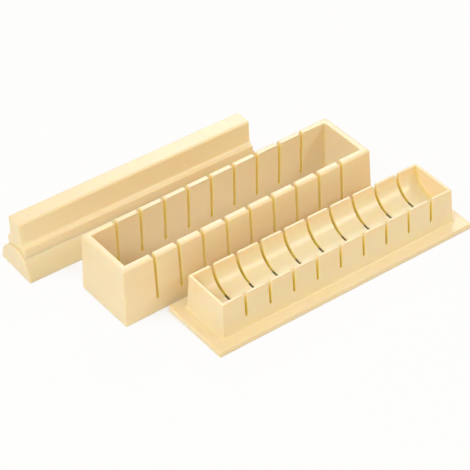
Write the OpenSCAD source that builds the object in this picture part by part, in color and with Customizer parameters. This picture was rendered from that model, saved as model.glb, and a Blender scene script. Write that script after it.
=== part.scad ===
// Sushi rice mold press: base tray, slotted frame and press, standing side by side.
// Origin: centre of the tray's underside. +X runs along the trough, +Z is up.

/* [Trough] */
// Diameter of the round space between the tray's trough and the press
roll_d = 34.4; // [26:0.2:44]
// Distance from slot to slot
slice_len = 20; // [14:0.5:28]
// Number of slots in each row
slot_count = 9; // [3:1:13]
// Distance from the last slot to the end of the trough
end_slice = 16.6; // [10:0.1:24]

/* [Tray] */
// Height of the tray
tray_h = 33.2; // [30:0.2:46]
// Width of the rim round the trough
tray_rim = 2.4; // [1.8:0.1:4]
// Wall of the tray's sides and ends
tray_wall = 2.2; // [1.4:0.1:2.8]
// Wall of the half-round trough
trough_wall = 1.4; // [1.2:0.1:2.6]
// Draft of the tray's sides, in degrees
tray_draft = 2.6; // [0.5:0.1:3]
// Height of the uncut band under the tray's slots
tray_foot = 14.2; // [10:0.2:15]

/* [Flange] */
// Thickness of the flange's edge
flange_h = 4.6; // [3.4:0.1:7]
// Thickness of the flange's plate
flange_plate = 2.4; // [1.6:0.1:3]
// Ledge beside the tray's body
ledge_side = 9; // [6:0.1:14]
// Ledge at the tray's ends
ledge_end = 9; // [6:0.1:14]
// Fillet between body and flange
foot_fillet = 1.6; // [0.6:0.1:2.4]

/* [Frame] */
// Height of the frame
frame_h = 46.9; // [38:0.1:60]
// Thickness of the frame's wall at the top
frame_wall = 5.15; // [3:0.05:8]
// Draft of the frame's walls, in degrees
frame_draft = 1.8; // [0.5:0.1:3]
// Height of the uncut band under the frame's slots
frame_foot = 10.5; // [6:0.1:18]
// Play between the tray's rim and the frame, along the sides
side_play = 0.3; // [0.2:0.05:1]
// Play between the tray's rim and the frame, at the ends
end_play = 1.75; // [0.2:0.05:2.5]

/* [Slots] */
// Width of the tray's slots at the rim
tray_slot_top = 2.6; // [1.6:0.1:3.4]
// Width of the tray's slots at the floor
tray_slot_floor = 1.8; // [1:0.1:2.6]
// Width of the frame's slots at the rim
frame_slot_top = 2.4; // [1.6:0.1:3.4]
// Width of the frame's slots at the floor
frame_slot_floor = 2.1; // [1:0.1:2.6]
// Rounding of the corners where a slot opens at the rim
mouth_round = 1.3; // [0.3:0.1:2]

/* [Press] */
// Play between press and frame, along the sides
press_side_play = 0.9; // [0.2:0.05:1.2]
// Play between press and frame, at the ends
press_end_play = 1.3; // [0.2:0.05:2]
// Overall height of the press
press_h = 43.1; // [36:0.1:60]
// Step between the press's end and the handle's end
handle_step = 2.4; // [1:0.1:6]
// Width of the handle's top
grip_w = 14; // [11:0.1:16]
// Draft of the handle's flanks, in degrees
grip_draft = 1.2; // [0:0.1:3]
// Width of the handle's foot
foot_w = 22.4; // [21:0.1:26]
// Height of the foot's upper edge above the press's lower edge
foot_top = 23.6; // [20.5:0.1:26]
// Concave fillet between flank and foot
grip_fillet = 3.6; // [1.5:0.1:5]
// Wall of the hollow handle
grip_wall = 2.4; // [1.6:0.1:3]
// Play of the locating ribs in the handle
rib_play = 0.15; // [0.05:0.05:0.4]
// Thickness of the locating ribs
rib_t = 1.6; // [1:0.1:2.2]

/* [Edges] */
// Depth of the flat on the upright corners of the flange and the frame
corner_cut = 0.4; // [0.1:0.05:1]
// Rounding of the tray's and the press's edges, and of the frame's inner edge
edge_r = 0.6; // [0.3:0.1:1]
// Rounding of the frame's outer upper edge
frame_edge_r = 1.8; // [0.4:0.1:2]
// Rounding of the handle's upper edges
grip_edge_r = 1.6; // [0.4:0.1:3]

/* [Layout] */
// Place of the frame's centre along X
frame_x = -34.6; // [-60:0.2:0]
// Place of the frame's centre along Y
frame_y = 61.3; // [61:0.2:90]
// Turn of the frame, in degrees
frame_turn = 0.7; // [-1.5:0.1:1.5]
// Place of the press's centre along X
press_x = -69.5; // [-110:0.2:0]
// Distance from the frame's centre to the press's centre along Y
press_dy = 68.3; // [56:0.2:90]
// Turn of the press, in degrees
press_turn = -0.5; // [-1.5:0.1:1.5]

/* [Hidden] */
$fn = 96;

cut = 1;                                  // how far a cutter runs past a face
arc_steps = 6;                            // flats in the rounding of a small edge
ivory = [0.95, 0.87, 0.70];
ivory_pale = [0.96, 0.90, 0.76];

roll_r = roll_d / 2;
trough_len = (slot_count - 1) * slice_len + 2 * end_slice;

// tray body: size of its top, and how far each side leans out at its foot
body_lx = trough_len / 2 + tray_rim;
body_ly = roll_r + tray_rim;
body_lean = (tray_h - flange_h) * tan(tray_draft);
flange_lx = body_lx + body_lean + ledge_end;
flange_ly = body_ly + body_lean + ledge_side;
bar_len = 4 * flange_lx;                  // long enough to pass every corner of a block

// frame: size of its opening and of its outside, both at the top
well_lx = body_lx + end_play;
well_ly = body_ly + side_play;
box_lx = well_lx + frame_wall;
box_ly = well_ly + frame_wall;
frame_lean = frame_h * tan(frame_draft);

// press: the shell slides in the frame's opening
shell_lx = well_lx - press_end_play;
shell_r = well_ly - press_side_play;
grip_lx = shell_lx - handle_step;
grip_ly = grip_w / 2;
foot_ly = foot_w / 2;
rib_y = foot_ly - grip_wall - rib_play;   // outer face of a locating rib
rib_top = foot_top - grip_wall - rib_play;
rib_root = sqrt(pow(roll_r, 2) - pow(rib_y, 2));   // where that face meets the mould's surface

// Points of a rounding: centre c, radius r, from angle a0 to angle a1
function arc(c, r, a0, a1) =
    [for (i = [0:arc_steps]) let (a = a0 + (a1 - a0) * i / arc_steps) c + r * [cos(a), sin(a)]];

// A half outline and its mirror image about the height axis, as one outline
function both_halves(half) =
    concat(half, [for (i = [len(half) - 1:-1:0]) if (half[i][0] > 0) [-half[i][0], half[i][1]]]);

// Points of a convex rounding where a wall that leans by d degrees meets a flat top at [x, z]
function rim_arc(x, z, r, d) = arc([x - r * (1 - sin(d)) / cos(d), z - r], r, d, 90);

// A block 2 lx by 2 ly with the same wall on its four sides, mitred at the corners.
// The wall is a list of points: how far it stands out there, and its height.
module mitred_block(lx, ly, wall) {
    intersection() {
        block_outline(0, lx, wall, 1);
        block_outline(90, ly, wall, 1);
    }
}

// The same with a flat down each upright corner
module flatted_block(lx, ly, wall) {
    diagonal = (lx + ly) * cos(45) - corner_cut;
    intersection() {
        block_outline(0, lx, wall, 1);
        block_outline(90, ly, wall, 1);
        block_outline(45, diagonal, wall, 2 * cos(45));
        block_outline(-45, diagonal, wall, 2 * cos(45));
    }
}

// The block's outline as seen across one direction, as a long bar. The direction is turned
// from X by an angle, and there the wall stands out by spread times its distance.
module block_outline(turn, half, wall, spread) {
    rotate([90, 0, turn])
        linear_extrude(bar_len, center = true)
            polygon(both_halves([for (p = wall) [half + spread * p[0], p[1]]]));
}

// Outline of one slot: rounded floor, walls that open upwards, rounded mouth corners
module slot_outline(floor_z, rim_z, floor_w, rim_w) {
    floor_r = floor_w / 2;
    mouth_z = rim_z - mouth_round;
    polygon(both_halves(concat(
        [[0, floor_z]],
        arc([0, floor_z + floor_r], floor_r, -75, 0),
        arc([rim_w / 2 + mouth_round, mouth_z], mouth_round, 180, 90),
        [[rim_w / 2 + mouth_round, rim_z + cut]])));
}

// The row of slots, cut right across a piece
module slot_row(half_w, floor_z, rim_z, floor_w, rim_w) {
    for (i = [0:slot_count - 1])
        translate([(i - (slot_count - 1) / 2) * slice_len, half_w + cut, 0])
            rotate([90, 0, 0])
                linear_extrude(2 * (half_w + cut))
                    slot_outline(floor_z, rim_z, floor_w, rim_w);
}

// Cutter of a rectangular opening's rounded upper edge, mitred at its corners.
// The opening measures 2 lx by 2 ly where the rounding starts.
module flared_mouth(lx, ly, z) {
    intersection() {
        rotate([90, 0, 90])
            linear_extrude(4 * lx, center = true)
                flare_outline(ly, z);
        rotate([90, 0, 0])
            linear_extrude(4 * ly, center = true)
                flare_outline(lx, z);
    }
}

module flare_outline(half_w, z) {
    polygon(both_halves(concat(
        arc([half_w + edge_r, z - edge_r], edge_r, 180, 90),
        [[half_w + edge_r, z + cut]])));
}

// ---- base tray ----

// Body wall: concave fillet onto the flange, leaning side, rounded rim
function body_wall() =
    let (foot = body_lean + foot_fillet)
    concat([[foot, 0]], arc([foot, flange_h + foot_fillet], foot_fillet, -90, -180),
        rim_arc(0, tray_h, edge_r, tray_draft));

// Space under the tray: inside the side walls, the end walls and the flange's edge
module tray_hollow() {
    in_lx = body_lx - tray_wall;
    in_ly = body_ly - tray_wall;
    lean = tray_h * tan(tray_draft);
    difference() {
        intersection() {
            rotate([90, 0, 90])
                linear_extrude(4 * in_lx, center = true)
                    polygon([[-in_ly - lean, 0], [in_ly + lean, 0], [in_ly, tray_h], [-in_ly, tray_h]]);
            rotate([90, 0, 0])
                linear_extrude(4 * in_ly, center = true)
                    polygon([[-in_lx - lean, 0], [in_lx + lean, 0], [in_lx, tray_h], [-in_lx, tray_h]]);
        }
        translate([0, 0, tray_h])
            rotate([0, 90, 0])
                cylinder(r = roll_r + trough_wall, h = 2 * flange_lx, center = true);
    }
    in_fx = flange_lx - tray_wall;
    in_fy = flange_ly - tray_wall;
    translate([-in_fx, -in_fy, -cut])
        cube([2 * in_fx, 2 * in_fy, flange_h - flange_plate + cut]);
}

module base_tray() {
    color(ivory_pale)
    difference() {
        union() {
            flatted_block(flange_lx, flange_ly, concat([[0, 0]], rim_arc(0, flange_h, edge_r, 0)));
            mitred_block(body_lx, body_ly, body_wall());
        }
        translate([0, 0, tray_h])
            rotate([0, 90, 0])
                cylinder(r = roll_r, h = trough_len, center = true);
        flared_mouth(trough_len / 2, sqrt(pow(roll_r, 2) - pow(edge_r, 2)), tray_h);
        tray_hollow();
        slot_row(flange_ly, tray_foot, tray_h, tray_slot_floor, tray_slot_top);
    }
}

// ---- slotted frame ----

module slotted_frame() {
    color(ivory)
    translate([frame_x, frame_y, 0])
    rotate(frame_turn)
    difference() {
        flatted_block(box_lx, box_ly,
            concat([[frame_lean, 0]], rim_arc(0, frame_h, frame_edge_r, frame_draft)));
        intersection() {
            rotate([90, 0, 90])
                linear_extrude(4 * box_lx, center = true)
                    frame_well_outline(well_ly);
            rotate([90, 0, 0])
                linear_extrude(4 * box_ly, center = true)
                    frame_well_outline(well_lx);
        }
        flared_mouth(well_lx, well_ly, frame_h);
        slot_row(box_ly + frame_lean, frame_foot, frame_h, frame_slot_floor, frame_slot_top);
    }
}

// The opening widens downwards with the same draft as the outside. Its foot is cut back at a
// slant, to clear the fillet when the frame stands on the tray's flange.
module frame_well_outline(half) {
    foot = half + frame_lean + foot_fillet;
    slant_top = half + (frame_h - foot_fillet) * tan(frame_draft);
    polygon(both_halves([
        [foot, -cut], [foot, 0], [slant_top, foot_fillet],
        [half - cut * tan(frame_draft), frame_h + cut]]));
}

// ---- press ----

// Half-round shell, closed at both ends, with two ribs that locate the handle
module press_shell() {
    color(ivory)
    translate([press_x, frame_y + press_dy, 0])
    rotate(press_turn)
    difference() {
        union() {
            rotate([90, 0, 90])
                rotate_extrude(angle = 180)
                    shell_outline();
            for (side = [0, 1])
                mirror([0, side, 0])
                    translate([-grip_lx + grip_wall + rib_play, rib_y - rib_t, rib_root])
                        cube([2 * (grip_lx - grip_wall - rib_play), rib_t, rib_top - rib_root]);
        }
        rotate([0, 90, 0])
            cylinder(r = roll_r, h = trough_len, center = true);
    }
}

// Outline turned about the press's long axis, with rounded end edges
module shell_outline() {
    polygon(concat(
        [[0, -shell_lx]],
        arc([shell_r - edge_r, -shell_lx + edge_r], edge_r, -90, 0),
        arc([shell_r - edge_r, shell_lx - edge_r], edge_r, 0, 90),
        [[0, shell_lx]]));
}

// Handle section: rounded grip, leaning flank, concave fillet, upright foot
module handle_section(half_top, half_foot, top_z, foot_z, fillet, round) {
    flank_x = half_top + (top_z - foot_z) * tan(grip_draft);
    reach = min(fillet, half_foot - flank_x);
    polygon(both_halves(concat(
        [[half_foot, 0], [half_foot, foot_z]],
        arc([flank_x + reach, foot_z + reach], reach, -90, -180),
        rim_arc(half_top, top_z, round, grip_draft))));
}

module press_handle() {
    color(ivory)
    translate([press_x, frame_y + press_dy, 0])
    rotate(press_turn)
    difference() {
        rotate([90, 0, 90])
            linear_extrude(2 * grip_lx, center = true)
                handle_section(grip_ly, foot_ly, press_h, foot_top, grip_fillet, grip_edge_r);
        rotate([90, 0, 90])
            linear_extrude(2 * (grip_lx - grip_wall), center = true)
                handle_section(grip_ly - grip_wall, foot_ly - grip_wall,
                    press_h - grip_wall, foot_top - grip_wall, grip_fillet, edge_r);
        rotate([0, 90, 0])
            cylinder(r = shell_r, h = 2 * shell_lx, center = true);
    }
}

base_tray();
slotted_frame();
press_shell();
press_handle();
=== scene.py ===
from math import cos, copysign, pi, radians, sin, tan

import bmesh
import bpy
from mathutils import Matrix, Vector


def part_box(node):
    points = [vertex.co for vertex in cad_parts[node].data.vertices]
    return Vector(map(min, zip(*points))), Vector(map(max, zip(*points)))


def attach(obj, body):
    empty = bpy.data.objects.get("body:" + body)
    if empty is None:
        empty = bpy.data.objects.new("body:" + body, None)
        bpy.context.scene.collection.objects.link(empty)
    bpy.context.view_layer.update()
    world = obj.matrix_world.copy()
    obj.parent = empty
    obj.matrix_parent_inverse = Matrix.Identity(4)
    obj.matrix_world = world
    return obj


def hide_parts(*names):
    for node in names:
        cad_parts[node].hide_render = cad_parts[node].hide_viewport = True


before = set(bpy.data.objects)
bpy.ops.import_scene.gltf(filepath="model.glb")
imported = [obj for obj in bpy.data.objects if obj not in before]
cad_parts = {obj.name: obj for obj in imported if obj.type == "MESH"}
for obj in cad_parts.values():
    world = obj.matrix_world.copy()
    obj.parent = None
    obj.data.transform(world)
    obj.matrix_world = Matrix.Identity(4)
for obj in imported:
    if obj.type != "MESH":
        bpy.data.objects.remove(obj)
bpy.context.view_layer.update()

MM = 0.001

# ---- sizes of the mould, in metres ----

TROUGH_R = 17.2 * MM               # radius of the trough and of the press's mould
SLOT_PITCH = 20 * MM               # from slot to slot
SLOTS = 9
TROUGH_HALF = 96.6 * MM            # half the length of the trough and of the press's mould

RIM = 2.4 * MM                     # rim round the trough
TRAY_WALL = 2.2 * MM
TROUGH_WALL = 1.4 * MM
TRAY_DRAFT = tan(radians(2.6))
TRAY_SLOT = (14.2 * MM, 1.8 * MM, 2.6 * MM)      # height of the floor, width there and at the rim
POCKET_WALL = 1.2 * MM             # plastic beside and under the tray's slots, below the trough
POCKET_FROM = 5.5 * MM             # nearer to the tray's middle than this, a slot is open below
HOLLOW_STOP = 1 * MM               # the hollow's walls run up to this far below the rim
FLANGE_H = 4.6 * MM
FLANGE_PLATE = 2.4 * MM
LEDGE = 9 * MM                     # flange beside the tray's body
FOOT_FILLET = 1.6 * MM             # concave, between the tray's body and its flange

FRAME_WALL = 5.15 * MM
FRAME_DRAFT = tan(radians(1.8))
FRAME_SLOT = (10.5 * MM, 2.1 * MM, 2.4 * MM)     # as for the tray
SIDE_PLAY = 0.3 * MM               # between the tray's body and the frame
END_PLAY = 1.75 * MM
FRAME_TURN = radians(0.7)

PRESS_SIDE_PLAY = 0.9 * MM         # between the frame and the press
PRESS_END_PLAY = 1.3 * MM
PRESS_TURN = radians(-0.5)
HANDLE_STEP = 2.4 * MM             # the handle ends this far inside the shell's end
GRIP_HALF = 7 * MM                 # half the width of the grip, at its top
GRIP_DRAFT = tan(radians(1.2))
FOOT_HALF = 11.2 * MM              # half the width of the handle's foot
FOOT_TOP = 23.6 * MM
GRIP_FILLET = 3.6 * MM             # concave, between the grip and the foot
FOOT_FLAT = 0.1 * MM               # least flat between that fillet and the foot's edge
GRIP_WALL = 2.4 * MM
RIB_T = 1.6 * MM                   # ribs of the shell, inside the handle
RIB_PLAY = 0.15 * MM
RIB_ROOT = 3 * MM                  # they start this far below the mould's face, which is cut after them

MOUTH_R = 1.3 * MM                 # corners where a slot opens at the rim
CORNER_R = 1 * MM                  # upright corners
INNER_CORNER_R = 0.7 * MM          # upright corners of the frame's opening
RIM_R = 0.6 * MM                   # edges of the tray, inner edge of the frame's rim
FRAME_RIM_R = 1.8 * MM             # outer edge of the frame's rim
SLOT_EDGE_R = 0.3 * MM
SOFT_R = 0.4 * MM                  # lower edges
GRIP_EDGE_R = 1.6 * MM             # along the top of the handle
FOOT_EDGE_R = 0.6 * MM             # along the handle's foot
HANDLE_END_R = 0.55 * MM
SHELL_END_R = 0.9 * MM

ARC_STEPS = 6                      # flats in the rounding of a corner
EDGE_STEPS = 4                     # flats in the rounding of an edge
SLOT_EDGE_STEPS = 2                # flats in the rounding of a slot's edge
TURN_STEPS = 128                   # flats in a full turn of the trough
CLEAR = 4 * MM                     # how far a cutter runs past what it cuts
TINY = 0.01 * MM
WELD = 0.001 * MM                  # points that are nearer than this become one
FLAT_ANGLE = radians(0.4)          # faces that turn by less than this become one
EDGE_ANGLE = radians(40)           # where faces turn by more than this there is an edge to round
CREASE_ANGLE = radians(35)         # where they turn by more than this, the shading breaks

TRAY_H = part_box("base_tray")[1].z
FRAME_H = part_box("slotted_frame")[1].z
PRESS_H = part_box("press_handle")[1].z

BODY_X = TROUGH_HALF + RIM         # half sizes of the tray's body at its rim
BODY_Y = TROUGH_R + RIM
WELL_X = BODY_X + END_PLAY         # half sizes of the frame's opening at its rim
WELL_Y = BODY_Y + SIDE_PLAY
SHELL_X = WELL_X - PRESS_END_PLAY
SHELL_R = WELL_Y - PRESS_SIDE_PLAY
HANDLE_X = SHELL_X - HANDLE_STEP

# ---- finish of the ivory plastic ----

IVORY_DEEP = (0.98, 0.795, 0.54, 1)
IVORY_PALE = (0.99, 0.835, 0.62, 1)
PAINTED_SHADE_GOLD = (0.98, 0.82, 0.22, 1)     # painted shade: the deeper gold mixed into slots and other narrow places
PAINTED_SHADE_REACH = 6 * MM                        # reach of the ambient-occlusion test: places narrower than this get the painted shade
CLOUD_SIZE = 38 * MM                   # clouds of the two ivories, from the flow in the mould
SATIN_SIZE = 14 * MM                   # patches of duller and brighter skin
GRAIN_SIZE = 0.9 * MM
GRAIN_DEPTH = 0.06 * MM
WAVE_SIZE = 22 * MM                    # slight unevenness of the faces
WAVE_DEPTH = 0.12 * MM
LENGTHWAYS = (0.5, 1, 1)               # a pattern that is drawn out along the mould

# ---- studio, in metres and watts ----

TABLE_WHITE = (0.86, 0.83, 0.78, 1)
TABLE_HALF = 6                         # half its width
TABLE_DROP = 0.1 * MM                  # keeps the table clear of the mould's underside
TABLE_SHADE = 60 * MM                  # how far from the mould the table is shaded by it
AIR_WARM = (1, 0.81, 0.46, 1)
AIR_STRENGTH = 0.58
WHITE = (1, 1, 1, 1)
LAMPS_AIM = (-0.03, 0.06, 0.02)
LAMPS = (                              # name, place, width, power and colour
    ("key", (-1.05, -0.25, 0.95), 0.9, 8.8, (0.81, 0.91, 1)),
    ("back", (0.7, 1.0, 1.0), 0.6, 4.6, (0.85, 0.93, 1)),
    ("front", (0.75, -1.0, 0.92), 0.38, 4, (1, 1, 1)),
)
CAMERA_PLACE = (-0.6775, -0.86718, 0.94697)
CAMERA_TURN = (radians(50.228), radians(1.543), radians(-36.158))
SENSOR = 36                            # millimetres, as the lens is
LENS = 160.31
SIGHT = 20                             # how far the camera sees


# ---- mesh tools ----

def round_edges(bm, edges, radius, steps=EDGE_STEPS):
    """Rounds the given edges."""
    bmesh.ops.bevel(
        bm, geom=edges, offset=radius, offset_type="OFFSET", segments=steps, profile=0.5,
        affect="EDGES", material=-1, loop_slide=True,
    )


def round_corners(bm, corners, radius, steps=ARC_STEPS):
    """Rounds the given corners of a flat outline."""
    bmesh.ops.bevel(
        bm, geom=list(corners), offset=radius, offset_type="OFFSET", segments=steps, profile=0.5,
        affect="VERTICES", material=-1,
    )


def sharp_edges(bm, least=EDGE_ANGLE):
    bm.normal_update()
    return [e for e in bm.edges if e.is_manifold and e.calc_face_angle() > least]


def sharp_edges_above(bm, height):
    """Sharp edges that lie wholly above a height."""
    return [e for e in sharp_edges(bm) if min(v.co.z for v in e.verts) > height]


def verts_of(made):
    return [g for g in made["geom"] if isinstance(g, bmesh.types.BMVert)]


def walled_block(x, y, corner_r, wall):
    """A block with rounded upright corners, drawn up along its wall from half sizes x and y.
    Each point of the wall tells how far it stands out there, and its height."""
    bm = bmesh.new()
    bmesh.ops.create_grid(bm, x_segments=1, y_segments=1, size=1)
    out, z = wall[0]
    for v in bm.verts:
        v.co = (copysign(x + out, v.co.x), copysign(y + out, v.co.y), z)
    round_corners(bm, bm.verts[:], corner_r)
    rim = bm.edges[:]
    for next_out, next_z in wall[1:]:
        made = bmesh.ops.extrude_edge_only(bm, edges=rim)
        rim = [g for g in made["geom"] if isinstance(g, bmesh.types.BMEdge)]
        step = next_out - out
        for v in verts_of(made):
            next_x = v.co.x + step * copysign(1, v.co.x)
            next_y = v.co.y + step * copysign(1, v.co.y)
            v.co = (next_x, next_y, next_z)
        out = next_out
    bmesh.ops.contextual_create(bm, geom=rim)
    bmesh.ops.recalc_face_normals(bm, faces=bm.faces)
    return bm


def quarter_arc(out, z, radius, start, end):
    """Points of a quarter circle about (out, z), from one angle to another."""
    angles = [start + (end - start) * i / ARC_STEPS for i in range(ARC_STEPS + 1)]
    return [(out + radius * cos(a), z + radius * sin(a)) for a in angles]


def cylinder_along_x(radius, half_length, height=0):
    bm = bmesh.new()
    bmesh.ops.create_cone(
        bm, cap_ends=True, segments=TURN_STEPS, radius1=radius, radius2=radius, depth=2 * half_length,
    )
    bmesh.ops.rotate(bm, verts=bm.verts, matrix=Matrix.Rotation(pi / 2, 3, "Y"))
    bmesh.ops.translate(bm, verts=bm.verts, vec=(0, 0, height))
    return bm


def bar_of_outline(outline, rounded, axis, half_length):
    """A bar with the given outline, drawn out along an axis. Each corner named in rounded,
    with its radius, becomes an arc."""
    bm = bmesh.new()
    if axis == "X":
        corners = [bm.verts.new((-half_length, a, z)) for a, z in outline]
    else:
        corners = [bm.verts.new((a, -half_length, z)) for a, z in outline]
    bm.faces.new(corners)
    for names, radius in rounded:
        round_corners(bm, [corners[n] for n in names], radius)
    made = bmesh.ops.extrude_face_region(bm, geom=bm.faces[:])
    step = (2 * half_length, 0, 0) if axis == "X" else (0, 2 * half_length, 0)
    bmesh.ops.translate(bm, verts=verts_of(made), vec=step)
    bmesh.ops.recalc_face_normals(bm, faces=bm.faces)
    return bm


def as_object(bm, name):
    """Moves a mesh into an object of the scene."""
    mesh = bpy.data.meshes.new(name)
    bm.to_mesh(mesh)
    bm.free()
    obj = bpy.data.objects.new(name, mesh)
    bpy.context.scene.collection.objects.link(obj)
    return obj


def combine(body, other, how="DIFFERENCE"):
    """Cuts the second mesh out of the first, or joins them, and clears the seams from flat faces."""
    solid = as_object(body, "solid")
    tool = as_object(other, "tool")
    step = solid.modifiers.new("step", "BOOLEAN")
    step.operation = how
    step.solver = "EXACT"
    step.object = tool
    graph = bpy.context.evaluated_depsgraph_get()
    result = bmesh.new()
    result.from_mesh(solid.evaluated_get(graph).to_mesh())
    for done in (solid, tool):
        bpy.data.objects.remove(done)
    bmesh.ops.remove_doubles(result, verts=result.verts, dist=WELD)
    bmesh.ops.dissolve_limit(
        result, angle_limit=FLAT_ANGLE, use_dissolve_boundaries=False,
        verts=result.verts, edges=result.edges,
    )
    return result


def slot_places():
    """Where the slots stand along the mould, from its middle."""
    return [(i - (SLOTS - 1) / 2) * SLOT_PITCH for i in range(SLOTS)]


def slot_cutters(half_y, rim_z, slot):
    """A row of slots: rounded floor, walls that open upwards, rounded mouth corners."""
    floor_z, floor_w, rim_w = slot
    wing = rim_w / 2 + 2 * MOUTH_R
    half = [(wing, rim_z + CLEAR), (wing, rim_z), (rim_w / 2, rim_z), (floor_w / 2, floor_z)]
    outline = [(-x, z) for x, z in half] + half[::-1]
    floor_r = floor_w / 2 - TINY
    bm = bar_of_outline(outline, [((3, 4), floor_r), ((2, 5), MOUTH_R)], "Y", half_y)
    one = bm.verts[:] + bm.edges[:] + bm.faces[:]
    first, *others = slot_places()
    for x in others:
        copy = bmesh.ops.duplicate(bm, geom=one)
        bmesh.ops.translate(bm, verts=verts_of(copy), vec=(x - first, 0, 0))
    bmesh.ops.translate(bm, verts=bm.verts, vec=(first, 0, 0))
    return bm


def place_of(node, turn):
    """Where a part stands: the middle of its CAD node, turned about the upright axis."""
    low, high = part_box(node)
    middle = (low + high) / 2
    return Matrix.Translation((middle.x, middle.y, 0)) @ Matrix.Rotation(turn, 4, "Z")


def finish_piece(bm, name, body, node, place=Matrix()):
    """Turns the mesh into a finished piece that stands for its CAD node."""
    bmesh.ops.transform(bm, matrix=place, verts=bm.verts)
    bmesh.ops.remove_doubles(bm, verts=bm.verts, dist=WELD)
    bmesh.ops.recalc_face_normals(bm, faces=bm.faces)
    for f in bm.faces:
        f.smooth = True
    for e in sharp_edges(bm, CREASE_ANGLE):
        e.smooth = False
    piece = as_object(bm, name)
    normals = piece.modifiers.new("even_shading", "WEIGHTED_NORMAL")
    normals.keep_sharp = True
    piece.data.materials.append(ivory)
    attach(piece, body)
    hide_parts(node)
    return piece


# ---- ivory plastic ----

def ivory_plastic():
    """Moulded ivory plastic: satin, a little translucent, with faint flow clouds and a fine skin.
    Painted shade: in narrow places such as the slots, found by the plastic's own ambient occlusion, the
    colour is mixed towards a deeper gold."""
    material = bpy.data.materials.new("ivory_plastic")
    material.use_nodes = True
    nodes = material.node_tree.nodes
    links = material.node_tree.links
    skin = nodes["Principled BSDF"]
    skin.inputs["Subsurface Weight"].default_value = 0.5
    skin.inputs["Subsurface Radius"].default_value = (1.0, 0.6, 0.15)
    skin.inputs["Subsurface Scale"].default_value = 2.5 * MM
    skin.inputs["IOR"].default_value = 1.5
    skin.inputs["Specular IOR Level"].default_value = 0.6

    where = nodes.new("ShaderNodeTexCoord")

    def noise(size, detail, rough=0.5, stretch=(1, 1, 1)):
        mapping = nodes.new("ShaderNodeMapping")
        mapping.inputs["Scale"].default_value = [s / size for s in stretch]
        links.new(where.outputs["Object"], mapping.inputs["Vector"])
        pattern = nodes.new("ShaderNodeTexNoise")
        pattern.inputs["Scale"].default_value = 1
        pattern.inputs["Detail"].default_value = detail
        pattern.inputs["Roughness"].default_value = rough
        links.new(mapping.outputs["Vector"], pattern.inputs["Vector"])
        return pattern.outputs["Fac"]

    clouds = nodes.new("ShaderNodeValToRGB")
    deep, pale = clouds.color_ramp.elements
    deep.position = 0.3
    deep.color = IVORY_DEEP
    pale.position = 0.72
    pale.color = IVORY_PALE
    links.new(noise(CLOUD_SIZE, 3, 0.55, stretch=(0.45, 1, 1)), clouds.inputs["Fac"])

    # painted shade: where the plastic's own ambient occlusion finds it hemmed in, the colour is mixed
    # towards a deeper gold
    painted_shade_ao = nodes.new("ShaderNodeAmbientOcclusion")
    painted_shade_ao.only_local = True
    painted_shade_ao.samples = 6
    painted_shade_ao.inputs["Distance"].default_value = PAINTED_SHADE_REACH
    painted_shade_share = nodes.new("ShaderNodeMapRange")
    painted_shade_share.inputs["From Min"].default_value = 0.25
    painted_shade_share.inputs["From Max"].default_value = 0.75
    painted_shade_share.inputs["To Min"].default_value = 1
    painted_shade_share.inputs["To Max"].default_value = 0
    links.new(painted_shade_ao.outputs["AO"], painted_shade_share.inputs["Value"])
    color = nodes.new("ShaderNodeMix")
    color.data_type = "RGBA"
    open_color, painted_shade_color = [s for s in color.inputs if s.enabled and s.type == "RGBA"]
    painted_shade_color.default_value = PAINTED_SHADE_GOLD
    links.new(painted_shade_share.outputs["Result"], color.inputs["Factor"])
    links.new(clouds.outputs["Color"], open_color)
    mixed_color = next(s for s in color.outputs if s.enabled)
    links.new(mixed_color, skin.inputs["Base Color"])

    satin = nodes.new("ShaderNodeMapRange")
    satin.inputs["To Min"].default_value = 0.26
    satin.inputs["To Max"].default_value = 0.36
    links.new(noise(SATIN_SIZE, 4, 0.6), satin.inputs["Value"])
    links.new(satin.outputs["Result"], skin.inputs["Roughness"])

    grain = nodes.new("ShaderNodeBump")
    grain.inputs["Strength"].default_value = 0.12
    grain.inputs["Distance"].default_value = GRAIN_DEPTH
    links.new(noise(GRAIN_SIZE, 3, 0.6), grain.inputs["Height"])
    waves = nodes.new("ShaderNodeBump")
    waves.inputs["Strength"].default_value = 0.25
    waves.inputs["Distance"].default_value = WAVE_DEPTH
    links.new(noise(WAVE_SIZE, 2, 0.5, stretch=LENGTHWAYS), waves.inputs["Height"])
    links.new(grain.outputs["Normal"], waves.inputs["Normal"])
    links.new(waves.outputs["Normal"], skin.inputs["Normal"])
    return material


ivory = ivory_plastic()


# ---- base tray ----

def base_tray():
    """Flanged shell with a half-round trough, slots through its walls and a hollow underside."""
    lean = (TRAY_H - FLANGE_H) * TRAY_DRAFT
    ledge = lean + LEDGE
    wall = [(ledge - SOFT_R / 2, 0), (ledge, SOFT_R / 2)]
    wall += quarter_arc(ledge - RIM_R, FLANGE_H - RIM_R, RIM_R, 0, pi / 2)
    wall += quarter_arc(lean + FOOT_FILLET, FLANGE_H + FOOT_FILLET, FOOT_FILLET, -pi / 2, -pi)
    wall += quarter_arc(-RIM_R, TRAY_H - RIM_R, RIM_R, 0, pi / 2)
    bm = walled_block(BODY_X, BODY_Y, CORNER_R, wall)
    bm = combine(bm, cylinder_along_x(TROUGH_R, TROUGH_HALF, TRAY_H))
    round_edges(bm, sharp_edges_above(bm, TRAY_H - TINY), RIM_R)
    bm = combine(bm, slot_cutters(BODY_Y + ledge + CLEAR, TRAY_H, TRAY_SLOT))
    slot_edges = [e for e in sharp_edges_above(bm, TRAY_SLOT[0] - TINY) if not at_trough_end(e)]
    round_edges(bm, slot_edges, SLOT_EDGE_R, SLOT_EDGE_STEPS)
    bm = combine(bm, combine(tray_hollow(ledge), slot_pockets()))
    return finish_piece(bm, "tray_moulding", "tray", "base_tray")


def at_trough_end(edge):
    """The arc where the trough meets its end wall stays a crisp inside corner."""
    return all(abs(abs(v.co.x) - TROUGH_HALF) < TINY for v in edge.verts)


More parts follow.
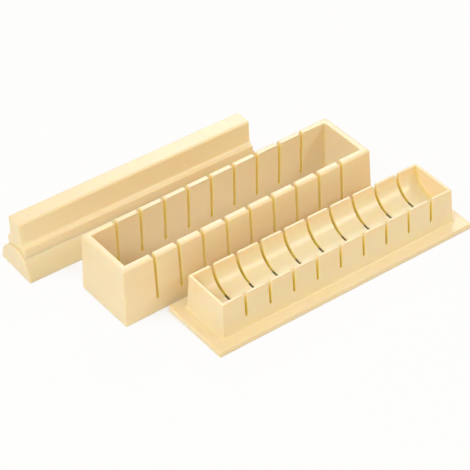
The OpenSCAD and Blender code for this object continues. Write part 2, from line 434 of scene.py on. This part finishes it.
def tray_hollow(ledge):
    """The space under the tray: inside its walls, below the trough and the flange's plate."""
    x, y = BODY_X - TRAY_WALL, BODY_Y - TRAY_WALL
    wall = [
        ((TRAY_H + CLEAR) * TRAY_DRAFT, -CLEAR),
        (HOLLOW_STOP * TRAY_DRAFT, TRAY_H - HOLLOW_STOP),
    ]
    inside = walled_block(x, y, SOFT_R, wall)
    inside = combine(inside, cylinder_along_x(TROUGH_R + TROUGH_WALL, x + ledge, TRAY_H))
    under_flange = walled_block(x, y, SOFT_R, [(ledge, -CLEAR), (ledge, FLANGE_H - FLANGE_PLATE)])
    return combine(inside, under_flange, "UNION")


def slot_pockets():
    """Blocks that the hollow leaves round each slot, so that it has side walls and a floor."""
    floor_z, floor_w, rim_w = TRAY_SLOT
    low, high = floor_z - POCKET_WALL, TRAY_H + CLEAR
    sizes = Matrix.Diagonal((rim_w + 2 * POCKET_WALL, BODY_Y - POCKET_FROM, high - low, 1))
    y = (BODY_Y + POCKET_FROM) / 2
    bm = bmesh.new()
    for x in slot_places():
        for side in (-1, 1):
            middle = Matrix.Translation((x, side * y, (high + low) / 2))
            bmesh.ops.create_cube(bm, size=1, matrix=middle @ sizes)
    return bm


# ---- slotted frame ----

def slotted_frame():
    """Open box that drops over the tray, with slots in both long walls."""
    lean = FRAME_H * FRAME_DRAFT
    wall = [(lean - SOFT_R / 2, 0), (lean, SOFT_R / 2)]
    wall += quarter_arc(-FRAME_RIM_R, FRAME_H - FRAME_RIM_R, FRAME_RIM_R, 0, pi / 2)
    bm = walled_block(WELL_X + FRAME_WALL, WELL_Y + FRAME_WALL, CORNER_R, wall)
    bm = combine(bm, walled_block(WELL_X, WELL_Y, INNER_CORNER_R, well_wall(lean)))
    bm = combine(bm, slot_cutters(WELL_Y + FRAME_WALL + lean + CLEAR, FRAME_H, FRAME_SLOT))
    slot_edges = sharp_edges_above(bm, FRAME_SLOT[0] - TINY)
    round_edges(bm, slot_edges, SLOT_EDGE_R, SLOT_EDGE_STEPS)
    place = place_of("slotted_frame", FRAME_TURN)
    return finish_piece(bm, "frame_moulding", "frame", "slotted_frame", place)


def well_wall(lean):
    """The opening's wall: cut back at its foot to clear the tray's fillet, rounded at the rim."""
    relief = lean + FOOT_FILLET
    wall = [(relief, -CLEAR), (relief, 0), (lean - FOOT_FILLET * FRAME_DRAFT, FOOT_FILLET)]
    wall += quarter_arc(RIM_R, FRAME_H - RIM_R, RIM_R, pi, pi / 2)
    return wall + [(RIM_R, FRAME_H + CLEAR)]


# ---- press ----

def press_shell():
    """Half-round shell with closed ends, a half-round mould face below and two ribs on top."""
    bm = cylinder_along_x(SHELL_R, SHELL_X)
    round_edges(bm, sharp_edges(bm), SHELL_END_R)
    bmesh.ops.bisect_plane(
        bm, geom=bm.verts[:] + bm.edges[:] + bm.faces[:], dist=WELD,
        plane_co=(0, 0, 0), plane_no=(0, 0, -1), clear_outer=True,
    )
    bmesh.ops.holes_fill(bm, edges=[e for e in bm.edges if e.is_boundary], sides=0)
    bmesh.ops.recalc_face_normals(bm, faces=bm.faces)
    rib_x = HANDLE_X - GRIP_WALL - RIB_PLAY
    rib_y = FOOT_HALF - GRIP_WALL - RIB_PLAY
    rib_top = FOOT_TOP - GRIP_WALL - RIB_PLAY
    root = TROUGH_R - RIB_ROOT
    for side in (-1, 1):
        outer, inner = side * rib_y, side * (rib_y - RIB_T)
        section = [(inner, root), (outer, root), (outer, rib_top), (inner, rib_top)]
        bm = combine(bm, bar_of_outline(section, [], "X", rib_x), "UNION")
    bm = combine(bm, cylinder_along_x(TROUGH_R, TROUGH_HALF))
    place = place_of("press_shell", PRESS_TURN)
    return finish_piece(bm, "press_shell_moulding", "press", "press_shell", place)


def handle_bar(inset, edge_r):
    """The handle's section drawn out along its length: foot, concave fillet, flank and rounded top."""
    grip = GRIP_HALF - inset
    foot = FOOT_HALF - inset
    top_z = PRESS_H - inset
    foot_z = FOOT_TOP - inset
    flank = grip + (top_z - foot_z) * GRIP_DRAFT
    fillet = min(GRIP_FILLET, foot - flank - FOOT_EDGE_R - FOOT_FLAT)
    half = [(foot, 0), (foot, foot_z), (flank, foot_z), (grip, top_z)]
    outline = half + [(-y, z) for y, z in reversed(half)]
    rounded = [((2, 5), fillet), ((3, 4), edge_r), ((1, 6), FOOT_EDGE_R)]
    return bar_of_outline(outline, rounded, "X", HANDLE_X - inset)


def press_handle():
    """Hollow ridge that sits on the shell."""
    bm = handle_bar(0, GRIP_EDGE_R)
    seen_edges = [e for e in sharp_edges(bm) if max(v.co.z for v in e.verts) > TINY]
    round_edges(bm, seen_edges, HANDLE_END_R)
    bm = combine(bm, handle_bar(GRIP_WALL, SOFT_R))
    bm = combine(bm, cylinder_along_x(SHELL_R, SHELL_X))
    place = place_of("press_shell", PRESS_TURN)
    return finish_piece(bm, "handle_moulding", "press", "press_handle", place)


base_tray()
slotted_frame()
press_shell()
press_handle()


# ---- floor, light and camera ----

def seen_ray(nodes, links):
    """1 for what is seen by the camera, in a gloss or through a clear thing, and 0 for other light."""
    path = nodes.new("ShaderNodeLightPath")
    seen = path.outputs["Is Camera Ray"]
    for ray in ("Is Glossy Ray", "Is Transmission Ray"):
        either = nodes.new("ShaderNodeMath")
        either.operation = "MAXIMUM"
        links.new(seen, either.inputs[0])
        links.new(path.outputs[ray], either.inputs[1])
        seen = either.outputs[0]
    return seen


def floor():
    """White studio table. It glows white where it is seen, but not close under and beside the mould."""
    bm = bmesh.new()
    bmesh.ops.create_grid(bm, x_segments=1, y_segments=1, size=TABLE_HALF)
    bmesh.ops.translate(bm, verts=bm.verts, vec=(0, 0, -TABLE_DROP))
    ground = as_object(bm, "floor")
    material = bpy.data.materials.new("floor_white")
    material.use_nodes = True
    nodes = material.node_tree.nodes
    links = material.node_tree.links
    paint = nodes["Principled BSDF"]
    paint.inputs["Base Color"].default_value = TABLE_WHITE
    paint.inputs["Roughness"].default_value = 0.9
    paint.inputs["Specular IOR Level"].default_value = 0.1
    glow = nodes.new("ShaderNodeEmission")
    near = nodes.new("ShaderNodeAmbientOcclusion")
    near.inputs["Distance"].default_value = TABLE_SHADE
    near.samples = 8
    open_table = nodes.new("ShaderNodeMapRange")
    open_table.inputs["From Min"].default_value = 0.2
    open_table.inputs["From Max"].default_value = 0.5
    open_table.inputs["To Max"].default_value = 0.94
    links.new(near.outputs["AO"], open_table.inputs["Value"])
    share = nodes.new("ShaderNodeMath")
    share.operation = "MULTIPLY"
    links.new(seen_ray(nodes, links), share.inputs[0])
    links.new(open_table.outputs["Result"], share.inputs[1])
    mix = nodes.new("ShaderNodeMixShader")
    links.new(share.outputs[0], mix.inputs["Fac"])
    links.new(paint.outputs["BSDF"], mix.inputs[1])
    links.new(glow.outputs["Emission"], mix.inputs[2])
    links.new(mix.outputs["Shader"], nodes["Material Output"].inputs["Surface"])
    ground.data.materials.append(material)


def surroundings():
    """Soft warm light from all round, which is plain white wherever it is seen."""
    world = bpy.data.worlds.new("studio")
    world.use_nodes = True
    nodes = world.node_tree.nodes
    links = world.node_tree.links
    warm = nodes["Background"]
    warm.inputs["Color"].default_value = AIR_WARM
    warm.inputs["Strength"].default_value = AIR_STRENGTH
    white = nodes.new("ShaderNodeBackground")
    white.inputs["Color"].default_value = WHITE
    mix = nodes.new("ShaderNodeMixShader")
    links.new(seen_ray(nodes, links), mix.inputs["Fac"])
    links.new(warm.outputs["Background"], mix.inputs[1])
    links.new(white.outputs["Background"], mix.inputs[2])
    links.new(mix.outputs["Shader"], nodes["World Output"].inputs["Surface"])
    bpy.context.scene.world = world


def softbox(name, place, size, power, color):
    """A round soft lamp that looks at the mould."""
    light = bpy.data.lights.new(name, "AREA")
    light.shape = "DISK"
    light.size = size
    light.energy = power
    light.color = color
    obj = bpy.data.objects.new(name, light)
    bpy.context.scene.collection.objects.link(obj)
    obj.location = place
    aim = Vector(LAMPS_AIM) - Vector(place)
    obj.rotation_euler = aim.to_track_quat("-Z", "Y").to_euler()


def camera():
    """The photograph's view."""
    lens = bpy.data.cameras.new("camera")
    lens.sensor_width = SENSOR
    lens.lens = LENS
    lens.clip_end = SIGHT
    obj = bpy.data.objects.new("camera", lens)
    bpy.context.scene.collection.objects.link(obj)
    obj.location = CAMERA_PLACE
    obj.rotation_euler = CAMERA_TURN
    bpy.context.scene.camera = obj


floor()
surroundings()
for lamp in LAMPS:
    softbox(*lamp)
camera()
bpy.context.scene.view_settings.view_transform = "Standard"
